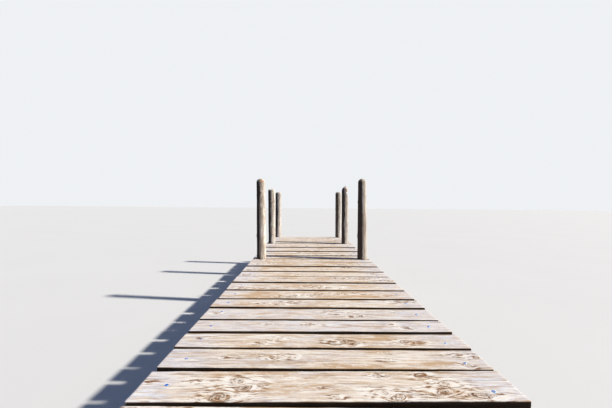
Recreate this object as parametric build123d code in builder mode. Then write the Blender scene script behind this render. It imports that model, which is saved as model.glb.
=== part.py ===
"""A wooden jetty, in millimetres.

It stands on pairs of round wooden piles. Each pair is clasped between two sawn headers, which sit in
housings cut in the piles and carry three lines of stringers. Cross boards of uneven width lie on the
stringers. The three outer pairs of piles run up through the deck as tall mooring posts.

X runs across the jetty, Y along it towards the posts, and Z up. The origin is on the ground line,
under the middle of the jetty.
"""
import os
from math import cos, radians, sin

from build123d import *

# Deck
deck_width = 1500
deck_height = 580
board_thickness = 45
board_edge_round = 5
board_length_wander = 7
board_skew_wander = 0.2
post_hole_clearance = 8
middle_joint_setback = 28

# Each board's width and the gap after it, from the near end to the far end
approach_boards = (
    (183, 14), (189, 18), (194, 12), (182, 20), (181, 16), (198, 14), (180, 22), (174, 30),
    (192, 21), (165, 15), (154, 26), (150, 18), (178, 30), (159, 20), (198, 26), (200, 34),
    (194, 12), (176, 26), (213, 40), (215, 10), (182, 26),
)
middle_boards = ((198, 38), (141, 6), (140, 58), (157, 6), (158, 58), (185, 6), (186, 34))
far_boards = ((216, 20), (236, 18), (223, 8), (222, 0))

# Turn of each run of boards in plan, and of the boards that were nailed down askew, in degrees
approach_skew = 0
middle_skew = 1.4
far_skew = 1
askew_boards = {7: -0.6, 8: 0.4, 19: -0.3, 21: -0.8, 22: -0.1}

# Bays, from one pair of piles to the next
low_bay = 1400
low_bay_count = 3
near_bay = 1400
far_bay = 915

# Round piles and posts
low_pile_inset = 113
low_pile_radius = 62
low_pile_gap = 5
low_pile_bevel = 8

# Headers, stringers and the joints between them
header_thickness = 60
header_height = 160
header_end_inset = 10
header_end_bevel = 25
header_half_space = 46
housing_clearance = 2
stringer_width = 80
stringer_height = 140
stringer_inset = 108
stringer_post_gap = 5
stringer_butt_gap = 6
stringer_bevel = 4

# Each tall post's distance to the right of the middle line, its height above the deck, its radius at the
# foot and at the shoulder, and the rise of its top
tall_posts = {
    "post_near_left": (-642, 1028, 62, 54, 38),
    "post_near_right": (660, 1040, 66, 52, 42),
    "post_middle_left": (-661, 968, 60, 60, 30),
    "post_middle_right": (633, 1008, 59, 57, 34),
    "post_far_left": (-630, 935, 60, 59, 30),
    "post_far_right": (624, 950, 60, 60, 34),
}
overcut = 1

# The split in one post's top: its bottom below the top, and its bottom and edges from the post's middle
split_depth = 36
split_bottom = -5
split_left = -48
split_right = 10

# The notch broken out of another post's outer side: heights below the top, and the wood left in beside it
notch_top = 78
notch_root = 90
notch_foot = 172
notch_core = 12

board_underside = deck_height - board_thickness
stringer_underside = board_underside - stringer_height
header_underside = stringer_underside - header_height
header_reach = header_half_space + header_thickness
low_pile_top = stringer_underside - low_pile_gap

low_pile_x = deck_width / 2 - low_pile_inset
header_half_length = deck_width / 2 - header_end_inset
stringer_x = deck_width / 2 - stringer_inset
bays = (*[low_bay] * low_bay_count, near_bay, far_bay)
jetty_length = sum(bays) + 2 * header_reach
frames = [header_reach - jetty_length / 2]
for bay in bays:
    frames.append(frames[-1] + bay)
low_frames = frames[:low_bay_count]
near_frame, middle_frame, far_frame = frames[low_bay_count:]
tall_frames = {"near": near_frame, "middle": middle_frame, "far": far_frame}
sides = {"left": -1, "right": 1}


def save(piece, name):
    piece.part.label = name
    export_step(piece.part, f"parts/{name}.step")


def upright(x, y, z=0):
    """An upright plane across the jetty, with its own X to the right and its own Y up."""
    return Plane(origin=(x, y, z), x_dir=(1, 0, 0), z_dir=(0, -1, 0))


def housings(x, y, radius):
    """Outline of the flat seats for the two headers, one on each side of a pile."""
    with BuildSketch(Plane.XY.offset(header_underside)) as seats:
        for side in (-1, 1):
            with Locations((x, y + side * (header_half_space + radius / 2))):
                Rectangle(3 * radius, radius)
    return seats.sketch


def make_low_pile(name, x, y):
    """A short pile, sawn off just under the stringers."""
    with BuildPart() as pile:
        with BuildSketch(upright(x, y)):
            with BuildLine():
                Polyline(
                    (0, 0),
                    (low_pile_radius, 0),
                    (low_pile_radius, low_pile_top - low_pile_bevel),
                    (low_pile_radius - low_pile_bevel, low_pile_top),
                    (0, low_pile_top),
                    close=True,
                )
            make_face()
        revolve(axis=Axis((x, y, 0), (0, 0, 1)))
        extrude(housings(x, y, low_pile_radius), amount=low_pile_top - header_underside, mode=Mode.SUBTRACT)
    save(pile, name)


def split_outline(x, y, radius, top):
    """A weathered split that opens the top of a post from front to back."""
    with BuildSketch(upright(x, y + 2 * radius)) as split:
        with BuildLine():
            Polyline(
                (split_bottom, top - split_depth),
                (split_right, top + overcut),
                (split_left, top + overcut),
                close=True,
            )
        make_face()
    return split.sketch


def notch_outline(x, y, radius, top):
    """A piece has broken out of the outer side of a post, below its head."""
    with BuildSketch(upright(x, y + 2 * radius)) as notch:
        with BuildLine():
            Polyline(
                (2 * radius, top - notch_top),
                (notch_core, top - notch_root),
                (radius, top - notch_foot),
                (2 * radius, top - notch_foot),
                close=True,
            )
        make_face()
    return notch.sketch


def make_tall_post(name, y):
    """A mooring post: a log that tapers above the headers to a rounded top."""
    x, height, foot_radius, shoulder_radius, rise = tall_posts[name]
    top = deck_height + height
    housing_height = header_height + housing_clearance
    with BuildPart() as post:
        with BuildSketch(upright(x, y)):
            with BuildLine():
                Polyline(
                    (shoulder_radius, top - rise),
                    (foot_radius, header_underside + housing_height),
                    (foot_radius, 0),
                    (0, 0),
                    (0, top),
                )
                TangentArc((0, top), (shoulder_radius, top - rise), tangent=(1, 0))
            make_face()
        revolve(axis=Axis((x, y, 0), (0, 0, 1)))
        extrude(housings(x, y, foot_radius), amount=housing_height, mode=Mode.SUBTRACT)
        if name == "post_middle_left":
            split = split_outline(x, y, shoulder_radius, top)
            extrude(split, amount=4 * shoulder_radius, mode=Mode.SUBTRACT)
        if name == "post_middle_right":
            notch = notch_outline(x, y, shoulder_radius, top)
            extrude(notch, amount=4 * shoulder_radius, mode=Mode.SUBTRACT)
    save(post, name)


def make_header(name, far_face):
    """A sawn cross timber with its lower ends bevelled."""
    with BuildPart() as header:
        with BuildSketch(upright(0, far_face)):
            with BuildLine():
                Polyline(
                    (-header_half_length, stringer_underside),
                    (-header_half_length, header_underside + header_end_bevel),
                    (-header_half_length + header_end_bevel, header_underside),
                    (header_half_length - header_end_bevel, header_underside),
                    (header_half_length, header_underside + header_end_bevel),
                    (header_half_length, stringer_underside),
                    close=True,
                )
            make_face()
        extrude(amount=header_thickness)
    save(header, name)


def make_stringer(name, x, start, end):
    """A timber that runs along the jetty, with its lower edges eased."""
    with BuildPart() as stringer:
        with BuildSketch(upright(x, end, stringer_underside)) as section:
            Rectangle(stringer_width, stringer_height, align=(Align.CENTER, Align.MIN))
            chamfer(section.vertices().group_by(Axis.Y)[0], stringer_bevel)
        extrude(amount=end - start)
    save(stringer, name)


def lay_boards():
    """Centre, width and turn of each board, from the near end of the jetty to the far end."""
    middle_joint = middle_frame - middle_joint_setback
    runs = (
        (-jetty_length / 2, near_frame, approach_boards, approach_skew),
        (near_frame, middle_joint, middle_boards, middle_skew),
        (middle_joint, far_frame, far_boards, far_skew),
    )
    laid = []
    for start, end, boards, skew in runs:
        fit = (end - start) / sum(width + gap for width, gap in boards)
        edge = start
        for width, gap in boards:
            number = len(laid)
            turn = skew + board_skew_wander * sin(1.9 * number) + askew_boards.get(number, 0)
            laid.append((edge + fit * width / 2, fit * width, turn if laid else 0))
            edge += fit * (width + gap)
    return laid


def make_deck(name, numbers, laid):
    """The boards over one bay, each a loose plank, cut round the posts that rise through them."""
    with BuildPart() as deck:
        for number in numbers:
            centre, width, turn = laid[number]
            along = (cos(radians(turn)), sin(radians(turn)), 0)
            across = (-along[1], along[0], 0)
            length = deck_width - board_length_wander * (1 + sin(2.3 * number))
            end_grain = Plane(origin=(0, centre, board_underside), x_dir=across, z_dir=along)
            with BuildSketch(end_grain) as section:
                Rectangle(width, board_thickness, align=(Align.CENTER, Align.MIN))
                fillet(section.vertices().group_by(Axis.Y)[-1], board_edge_round)
            extrude(amount=length / 2, both=True)
        with BuildSketch(Plane.XY.offset(board_underside)):
            for frame_name, frame in tall_frames.items():
                for side_name in sides:
                    x, _, foot_radius, _, _ = tall_posts[f"post_{frame_name}_{side_name}"]
                    with Locations((x, frame)):
                        Circle(foot_radius + post_hole_clearance)
        extrude(amount=board_thickness, mode=Mode.SUBTRACT)
    save(deck, name)


os.makedirs("parts", exist_ok=True)

for number, frame in enumerate(low_frames, 1):
    for side_name, side in sides.items():
        make_low_pile(f"low_pile_{number}_{side_name}", side * low_pile_x, frame)
for frame_name, frame in tall_frames.items():
    for side_name in sides:
        make_tall_post(f"post_{frame_name}_{side_name}", frame)

for number, frame in enumerate(frames, 1):
    make_header(f"header_{number}_near_side", frame - header_half_space)
    make_header(f"header_{number}_far_side", frame + header_reach)

post_reach = max(post[2] for post in tall_posts.values()) + stringer_post_gap
for number, (start, end) in enumerate(zip(frames, frames[1:]), 1):
    if number == 1:
        start_cut = start - header_reach
    elif start in tall_frames.values():
        start_cut = start + post_reach
    else:
        start_cut = start + stringer_butt_gap / 2
    end_cut = end - post_reach if end in tall_frames.values() else end - stringer_butt_gap / 2
    for side_name, side in sides.items():
        make_stringer(f"stringer_{number}_{side_name}", side * stringer_x, start_cut, end_cut)

half_butt = stringer_butt_gap / 2
centre_joints = (frames[0] - header_reach - half_butt, frames[2], frames[4], far_frame)
for number, (start, end) in enumerate(zip(centre_joints, centre_joints[1:]), 1):
    make_stringer(f"centre_stringer_{number}", 0, start + half_butt, end - half_butt)

boards = lay_boards()
for bay, (start, end) in enumerate(zip(frames, frames[1:]), 1):
    if bay == 1:
        start = -jetty_length / 2
    over_bay = [number for number, board in enumerate(boards) if start <= board[0] < end]
    make_deck(f"deck_boards_{bay}", over_bay, boards)
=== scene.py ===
"""Visual model of a wooden jetty: weathered boards on sawn timbers, round piles and posts, and their fixings.

Lengths are in metres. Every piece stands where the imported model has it.
"""
import math
import random

import bmesh
import bpy
from bpy.props import FloatProperty, FloatVectorProperty, IntProperty, PointerProperty
from mathutils import Matrix, Vector, noise


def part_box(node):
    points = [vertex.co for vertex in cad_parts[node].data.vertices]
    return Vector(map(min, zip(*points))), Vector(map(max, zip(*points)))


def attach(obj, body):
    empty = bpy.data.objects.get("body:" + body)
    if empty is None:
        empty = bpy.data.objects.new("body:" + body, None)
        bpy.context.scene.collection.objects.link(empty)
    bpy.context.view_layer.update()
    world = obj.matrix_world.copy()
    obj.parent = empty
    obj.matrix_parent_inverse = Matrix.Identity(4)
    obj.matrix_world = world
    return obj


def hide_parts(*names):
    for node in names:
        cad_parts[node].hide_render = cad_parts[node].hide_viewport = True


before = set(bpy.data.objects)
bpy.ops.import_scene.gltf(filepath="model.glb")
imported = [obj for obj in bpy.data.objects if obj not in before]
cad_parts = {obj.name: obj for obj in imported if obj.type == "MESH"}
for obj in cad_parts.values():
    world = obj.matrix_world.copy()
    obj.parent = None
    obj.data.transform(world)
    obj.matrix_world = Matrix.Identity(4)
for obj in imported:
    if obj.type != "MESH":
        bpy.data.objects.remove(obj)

bl_info = {
    "name": "Wooden jetty",
    "version": (1, 0, 0),
    "blender": (4, 5, 0),
    "location": "3D View > Sidebar > Jetty",
    "description": "Builds the boards, timbers, piles, posts and fixings of a weathered wooden jetty",
    "category": "Object",
}

# Without a seed, noise_vector differs from run to run
noise.seed_set(4)

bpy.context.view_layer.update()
SIDES = ("left", "right")
LOW_PILES = [f"low_pile_{number}_{side}" for number in (1, 2, 3) for side in SIDES]
TALL_POSTS = [f"post_{row}_{side}" for row in ("near", "middle", "far") for side in SIDES]
HEADERS = [f"header_{number}_{face}_side" for number in range(1, 7) for face in ("near", "far")]
SIDE_STRINGERS = [f"stringer_{number}_{side}" for number in range(1, 6) for side in SIDES]
STRINGERS = SIDE_STRINGERS + [f"centre_stringer_{number}" for number in (1, 2, 3)]
DECKS = [f"deck_boards_{number}" for number in range(1, 6)]
HEADER_UNDERSIDE, HEADER_TOP = (corner.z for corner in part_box("header_1_near_side"))
HEADER_HALF_SPACE = (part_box("header_1_far_side")[0].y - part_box("header_1_near_side")[1].y) / 2
DECK_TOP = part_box("deck_boards_1")[1].z
FULL_TURN = 2 * math.pi
SUN_TURN = math.radians(-7)
SUN_RISE = math.radians(37)
# Lengths and angles under this count as nothing
TINY = 1e-6
# Distance in radii that counts as out of every knot's reach
NO_KNOT = 4.0
# Room that a pile's housing leaves above the headers
SEAT_CLEARANCE = 0.002
# First seed of each kind of piece, for its random draws and for its wear
DRAW_SEEDS = {
    "boards": 500, "posts": 700, "piles": 900, "headers": 1100, "stringers": 1300, "screws": 1500,
    "bolts": 1700,
}
WEAR_SEEDS = {"boards": 1, "piles": 30, "posts": 50, "headers": 70, "stringers": 100}

# Knots seen on the nearer boards: place along the board and across it from its middle, radius, reach of
# the brown grain beside it
BOARD_KNOTS = {
    8: (
        (-0.36, 0.024, 0.026, 0.10), (-0.33, -0.021, 0.02, 0.07), (-0.413, -0.073, 0.027, 0.11),
        (0.213, 0.062, 0.013, 0.05), (0.398, 0.064, 0.016, 0.05), (0.22, -0.049, 0.02, 0.09),
        (0.26, -0.076, 0.02, 0.09), (0.487, 0.007, 0.022, 0.07), (0.452, -0.041, 0.022, 0.12),
        (0.575, -0.066, 0.02, 0.12), (-0.014, -0.019, 0.006, 0.03), (-0.545, 0.022, 0.008, 0.06),
        (-0.72, 0.023, 0.008, 0.04), (0.029, -0.072, 0.009, 0.04),
    ),
    9: (
        (-0.235, -0.002, 0.012, 0.06), (-0.2, 0.012, 0.015, 0.08), (-0.165, 0.007, 0.011, 0.05),
        (0.303, 0.046, 0.009, 0.02), (0.29, -0.013, 0.01, 0.05), (0.645, 0.037, 0.016, 0.08),
        (0.642, -0.06, 0.013, 0.04), (0.719, 0.009, 0.011, 0.05), (-0.46, -0.005, 0.007, 0.07),
    ),
    10: (
        (-0.308, -0.037, 0.011, 0.05), (-0.218, 0.009, 0.013, 0.07), (0.055, -0.025, 0.02, 0.06),
        (0.115, -0.013, 0.016, 0.07), (0.17, -0.045, 0.012, 0.05), (0.43, -0.015, 0.018, 0.09),
        (0.5, -0.025, 0.014, 0.07), (-0.63, 0.018, 0.008, 0.05),
    ),
    11: (
        (-0.308, 0.026, 0.013, 0.05), (-0.07, 0.024, 0.012, 0.05), (0.02, 0.004, 0.009, 0.04),
        (0.43, 0.024, 0.011, 0.05), (0.494, -0.026, 0.013, 0.06),
    ),
    12: (
        (-0.664, 0.004, 0.014, 0.06), (0.246, -0.036, 0.02, 0.07), (0.221, 0.036, 0.011, 0.06),
        (0.482, 0.044, 0.01, 0.05), (0.061, 0.044, 0.012, 0.08), (0.101, -0.006, 0.01, 0.06),
    ),
    13: (
        (-0.253, -0.01, 0.018, 0.11), (-0.192, 0.022, 0.016, 0.09), (-0.42, -0.005, 0.011, 0.06),
        (0.16, -0.045, 0.012, 0.08), (0.599, 0.04, 0.02, 0.12),
    ),
    14: (
        (-0.226, -0.048, 0.022, 0.12), (-0.176, -0.03, 0.016, 0.08), (-0.103, -0.012, 0.014, 0.08),
        (-0.042, -0.011, 0.02, 0.11), (0.234, 0.028, 0.02, 0.2), (0.55, -0.03, 0.012, 0.08),
    ),
    15: (
        (-0.324, -0.046, 0.016, 0.09), (0.013, -0.003, 0.024, 0.14), (0.122, -0.035, 0.02, 0.12),
        (0.198, -0.019, 0.018, 0.1), (-0.636, -0.065, 0.018, 0.16),
    ),
    16: (
        (0.239, 0.04, 0.022, 0.07), (0.479, 0.036, 0.026, 0.14), (0.568, 0.064, 0.02, 0.1),
        (0.585, -0.035, 0.022, 0.1), (0.7, -0.042, 0.02, 0.1), (-0.3, 0.03, 0.012, 0.08),
    ),
    17: ((-0.68, -0.05, 0.02, 0.14), (-0.135, -0.022, 0.014, 0.08), (0.62, 0.02, 0.02, 0.1)),
    18: ((-0.66, -0.05, 0.022, 0.14), (0.382, 0.07, 0.026, 0.14), (0.1, -0.02, 0.012, 0.06)),
    19: ((-0.605, -0.001, 0.026, 0.2), (0.351, -0.036, 0.03, 0.16), (0.556, -0.001, 0.02, 0.12)),
    20: ((0.389, 0.045, 0.024, 0.16), (-0.533, 0.011, 0.026, 0.22)),
}
# Brightness, greyness and brownness of the boards that stand out from the rest
BOARD_TONES = {
    8: (1.03, 0.45, 0.4), 9: (1.0, 0.4, 0.5), 10: (1.0, 0.35, 0.65), 11: (1.01, 1.2, 0.1),
    12: (1.01, 1.0, 0.25), 13: (1.03, 0.5, 0.6), 14: (1.04, 0.2, 1.05), 15: (1.04, 0.5, 0.8),
    16: (1.04, 0.5, 0.75), 17: (1.07, 0.55, 0.5), 18: (1.04, 0.5, 0.75), 19: (1.01, 0.5, 0.95),
    20: (1.0, 0.5, 1.0), 21: (1.04, 0.7, 0.5), 22: (1.06, 0.7, 0.4), 23: (1.02, 0.5, 0.8),
    24: (1.05, 0.7, 0.4),
}
# How far each end screw sits from the middle line of its board, left end and right end
SCREW_SHIFTS = {
    8: (0.001, -0.042), 9: (-0.014, -0.034), 10: (0.005, -0.027), 11: (-0.006, -0.004),
    12: (0.029, 0.004), 13: (0.005, 0.005), 14: (0.014, 0.014),
}
# For each post: height of its crown above the boards before the weather opened it, lean of its top to
# the right, radius at the shoulder, rise of the rounded top, and its brightness, greyness and brownness
POSTS = {
    "post_near_left": (1.028, -0.020, 0.054, 0.046, (0.98, 0.35, 0.4)),
    "post_near_right": (1.040, -0.013, 0.052, 0.050, (1.02, 0.3, 0.7)),
    "post_middle_left": (0.968, -0.016, 0.060, 0.042, (0.94, 0.35, 0.45)),
    "post_middle_right": (1.008, -0.007, 0.057, 0.075, (0.94, 0.4, 0.4)),
    "post_far_left": (0.935, -0.005, 0.059, 0.030, (0.92, 0.75, 0.25)),
    "post_far_right": (0.950, -0.005, 0.060, 0.034, (0.94, 0.7, 0.2)),
}
# Wood gone from the tops: corners of what is cut away, to the right of the post's middle and above its
# crown, seed of the torn faces, and how much lower the cut is at the front than in the middle
TOP_CUTS = {
    "post_middle_left": (((-0.005, -0.036), (0.022, 0.031), (-0.085, 0.031)), 3.0, 0.022),
    "post_middle_right": (((0.09, -0.074), (0.012, -0.09), (0.056, -0.17), (0.09, -0.18)), 5.0, 0.0),
}
# Knots seen near the tops: distance below the crown, direction in degrees, radius and reach
TOP_KNOTS = {
    "post_near_left": ((0.176, -82, 0.012, 0.04), (0.033, -38, 0.009, 0.02)),
    "post_middle_right": ((0.05, -70, 0.017, 0.05), (0.02, -85, 0.01, 0.03)),
}
# Where heartwood shows near the tops: distance below the crown, direction in degrees, radius
BARE_HEART = {
    "post_near_left": ((0.032, -64, 0.03),),
    "post_middle_right": ((0.045, -72, 0.028),),
}
# Splinters that stand up from a broken top: distance to the right of the middle, height and bend
SPLINTERS = {
    "post_middle_right": ((0.006, 0.042, 0.004), (0.014, 0.026, 0.007), (-0.004, 0.017, -0.003)),
}


def draws(kind, number):
    """The random draws of one piece."""
    return random.Random(DRAW_SEEDS[kind] + number)


def amount(name, description, default):
    return FloatProperty(name=name, description=description, default=default, min=0.0)


def angle_in_degrees(name, description, degrees):
    return FloatProperty(
        name=name, description=description, default=math.radians(degrees), subtype="ANGLE"
    )


def metres(name, description, default):
    return FloatProperty(
        name=name, description=description, default=default, min=0.0, unit="LENGTH",
        subtype="DISTANCE", precision=4,
    )


def tint(name, description, default):
    return FloatVectorProperty(
        name=name, description=description, default=default, min=0.0, max=1.0, size=3, subtype="COLOR"
    )


class JettyBoards(bpy.types.PropertyGroup):
    """Sizes and colours of the deck boards."""

    ease: metres("Edge round", "Radius of the worn upper edges", 0.005)
    ring_step: metres("Step along", "Distance between the mesh's cuts along a board", 0.0095)
    row_step: metres("Step across", "Distance between the mesh's rows across a board", 0.0058)
    relief: metres("Relief", "Depth of the worn grain", 0.0007)
    wander: metres("Wander", "How far the sawn edges stray from straight", 0.0024)
    cup: metres("Cup", "How far the edges of a board lift above its middle", 0.0016)
    # Painted shade mixed with soiling: dark rims along the gaps, widening on boards farther from the near end
    rim: metres("Grimy rim", "How far dirt reaches in from the edges of the nearer boards", 0.005)
    rim_growth: metres("Rim growth", "How much wider the grimy rim gets from board to board", 0.0019)
    grey_ends: amount("Grey ends", "How much greyer the ends are", 0.9)
    tight_joint: metres("Tight joint", "Widest gap that stays clean of dirt", 0.013)
    notch_clearance: metres("Notch clearance", "Gap round a post where a board is cut out", 0.008)
    pale: tint("Bleached wood", "Sun-bleached colour", (0.92, 0.85, 0.755))
    tan: tint("Tan wood", "Colour of the darker grain", (0.62, 0.42, 0.25))
    silver: tint("Silver wood", "Colour of the greyed patches", (0.72, 0.7, 0.74))
    brown: tint("Knot brown", "Colour of knots and of the grain beside them", (0.24, 0.115, 0.05))
    # Also the colour of the painted shade in the gaps and under the boards
    grime_and_shade: tint("Grime", "Colour in the checks and on the edges in the gaps", (0.03, 0.018, 0.012))


class JettyLogs(bpy.types.PropertyGroup):
    """Sizes and colours of the round piles and posts."""

    ring_step: metres("Step along", "Distance between the mesh's rings along a log", 0.013)
    pile_bevel: metres("Pile bevel", "Rise of the worn edge round the top of a low pile", 0.008)
    columns: IntProperty(name="Columns", description="Faces round a log", default=60, min=12, max=160)
    relief: metres("Relief", "Depth of the lumps on a log", 0.0016)
    bow: metres("Bow", "How far a log strays from straight", 0.003)
    # Painted shade: how dark the side of each log that faces away from the key light is made
    painted_shade_side: amount("Shade stain", "Dark stain on the side away from the sun", 1.95)
    # Painted light: how much paler the side of each log that faces the key light is made
    painted_sunlight: amount("Bleach", "How much paler the side that faces the sun is", 0.34)
    pale: tint("Bleached log", "Sun-bleached colour", (0.82, 0.75, 0.66))
    tan: tint("Tan log", "Colour of the darker grain", (0.46, 0.37, 0.28))
    silver: tint("Silver log", "Colour of the greyed patches", (0.53, 0.5, 0.51))
    brown: tint("Knot brown", "Colour of knots", (0.25, 0.12, 0.055))
    heart: tint("Heartwood", "Colour of the wood bared at the tops", (0.8, 0.4, 0.2))
    grime_and_shade: tint("Grime", "Colour in the checks and on the shaded side", (0.07, 0.056, 0.05))


class JettyTimbers(bpy.types.PropertyGroup):
    """Sizes and colours of the headers and stringers."""

    ease: metres("Edge round", "Radius of the worn edges", 0.004)
    ring_step: metres("Step along", "Distance between the mesh's cuts along a timber", 0.022)
    row_step: metres("Step across", "Distance between the mesh's rows across a face", 0.016)
    relief: metres("Relief", "Depth of the worn grain", 0.0007)
    wander: metres("Wander", "How far the sawn faces stray from straight", 0.0012)
    header_bevel: metres("Header bevel", "Bevel on the lower ends of the headers", 0.025)
    pale: tint("Pale timber", "Colour of the driest grain", (0.47, 0.41, 0.335))
    tan: tint("Tan timber", "Colour of the darker grain", (0.3, 0.225, 0.155))
    silver: tint("Silver timber", "Colour of the greyed patches", (0.36, 0.35, 0.345))
    brown: tint("Knot brown", "Colour of the knots", (0.12, 0.065, 0.035))
    grime_and_shade: tint("Grime", "Colour in the checks", (0.03, 0.022, 0.016))


class JettyFixings(bpy.types.PropertyGroup):
    """Sizes and colours of the screws and bolts."""

    screw_inset: metres("Screw inset", "Distance of a screw from the middle of the jetty", 0.642)
    screw_head: metres("Screw head", "Diameter of a screw's head", 0.016)
    bolt_head: metres("Bolt head", "Width of a hexagon head across its corners", 0.034)
    bolt_rise: metres("Bolt rise", "Height of a hexagon head", 0.0125)
    washer: metres("Washer", "Diameter of a washer", 0.058)
    washer_rise: metres("Washer rise", "Thickness of a washer", 0.004)
    # Zinc with a painted reflection of blue sky in its colour
    zinc_and_sky_blue: tint("Zinc", "Colour of the bright zinc screws", (0.1, 0.26, 0.68))
    steel: tint("Galvanised steel", "Colour of the bolts and washers", (0.42, 0.43, 0.44))
    rust: tint("Rust", "Colour of the rust on the bolts", (0.2, 0.075, 0.03))


class JettyStage(bpy.types.PropertyGroup):
    """Camera, light and floor."""

    camera_place: FloatVectorProperty(
        name="Camera place", description="Where the camera stands", default=(-0.104, -2.7925, 1.311),
        size=3, subtype="TRANSLATION", unit="LENGTH",
    )
    pitch: angle_in_degrees("Pitch", "Tilt of the camera below the horizon", 0.37)
    yaw: angle_in_degrees("Yaw", "Turn of the camera to the right", 0.46)
    roll: angle_in_degrees("Roll", "Turn of the picture", 0.5)
    lens: amount("Lens", "Focal length in millimetres", 17.0)
    sun: amount("Key light", "Strength of the key light", 4.8)
    fill: amount("Fill light", "Strength of the light all round", 0.1)
    floor: tint("Floor", "Colour of the floor", (0.8, 0.8, 0.79))


def eased(value, low, high):
    """Runs smoothly from 0 at low to 1 at high."""
    part = min(1.0, max(0.0, (value - low) / (high - low)))
    return part * part * (3 - 2 * part)


def even_steps(low, high, step):
    """Places from low to high, both left out, about a step apart."""
    count = max(1, round((high - low) / step))
    return [low + (high - low) * number / count for number in range(1, count)]


def rows_with_checks(low, high, step, checks, half_gap):
    """Rows across a face, with three close together along the line of each check."""
    rows = [
        place for place in even_steps(low, high, step)
        if all(abs(place - check) > 2.2 * half_gap for check in checks)
    ]
    for check in checks:
        rows += [check - half_gap, check, check + half_gap]
    return sorted(rows)


def bevel(bm, edges, offset):
    bmesh.ops.bevel(
        bm, geom=edges, offset=offset, segments=2, profile=0.5, affect="EDGES", material=-1
    )


def sawn_block(size, ease, ring_step, faces):
    """A sawn timber along X, with eased long edges, cuts along it, and rows on its four long faces.

    faces gives, for each axis and side, the places of the rows across that face."""
    half = [length / 2 for length in size]
    bm = bmesh.new()
    bmesh.ops.create_cube(bm, size=1, matrix=Matrix.Diagonal((*size, 1)))

    def long_edges():
        return [edge for edge in bm.edges if abs(edge.verts[0].co.x - edge.verts[1].co.x) > half[0]]

    bevel(bm, long_edges(), ease)
    end_margin = 0.0016
    end_cut = half[0] - end_margin
    rings = [-end_cut, *even_steps(-half[0], half[0], ring_step), end_cut]
    bmesh.ops.subdivide_edges(bm, edges=long_edges(), cuts=len(rings), use_grid_fill=True)
    for vert in bm.verts:
        if abs(vert.co.x) < half[0] - TINY:
            step = round((vert.co.x + half[0]) / size[0] * (len(rings) + 1))
            vert.co.x = rings[step - 1]
    for (axis, side), rows in faces.items():
        across = 3 - axis
        reach = half[across] - ease

        def on_face(vert):
            return abs(vert.co[axis] - side * half[axis]) < TINY

        crossing = [
            edge for edge in bm.edges
            if on_face(edge.verts[0]) and on_face(edge.verts[1])
            and abs(edge.verts[0].co[across] - edge.verts[1].co[across]) > reach
        ]
        bmesh.ops.subdivide_edges(bm, edges=crossing, cuts=len(rows), use_grid_fill=True)
        for vert in bm.verts:
            if on_face(vert) and abs(vert.co[across]) < reach - TINY:
                step = round((vert.co[across] + reach) / (2 * reach) * (len(rows) + 1))
                vert.co[across] = rows[step - 1]
    return bm


def knot_field(knots, along, across):
    """Where the grain runs at a place beside knots, how many radii off the nearest is, and the stain."""
    bent = across
    nearest = NO_KNOT
    stain = 0.0
    for knot_along, knot_across, radius, reach in knots:
        du = along - knot_along
        dv = across - knot_across
        if abs(du) > 4 * reach + 0.05:
            continue
        du -= 0.9 * math.sin(90 * knot_along + 50 * knot_across) * dv
        spread = (du / 1.9) ** 2 + dv * dv
        bent -= 0.9 * dv * radius**2 / (spread + 0.3 * radius**2)
        nearest = min(nearest, math.sqrt((du / 1.35) ** 2 + dv * dv) / radius)
        stain += math.exp(-((du / reach) ** 2) - (dv / (1.9 * radius)) ** 2)
    return bent, nearest, min(1.0, stain)


class WoodLayers:
    """The three attributes that the wood materials read, on one mesh."""

    def __init__(self, bm):
        self.grain = bm.verts.layers.float_vector.new("grain_place")
        self.marks = bm.verts.layers.float_vector.new("wood_marks")
        # Brightness, greyness and brownness: the brightness holds painted light and the brownness holds
        # painted shade
        self.tone = bm.verts.layers.float_vector.new("wood_tone")

    def write(self, vert, grain, marks, tone):
        vert[self.grain] = grain
        vert[self.marks] = marks
        vert[self.tone] = tone


def check_opening(place, start, end):
    """How far a drying check is open at a place along its run: 0 at its ends, 1 in its middle."""
    fade = 0.3 * (end - start)
    return min(eased(place, start, start + fade), 1 - eased(place, end - fade, end))


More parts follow.
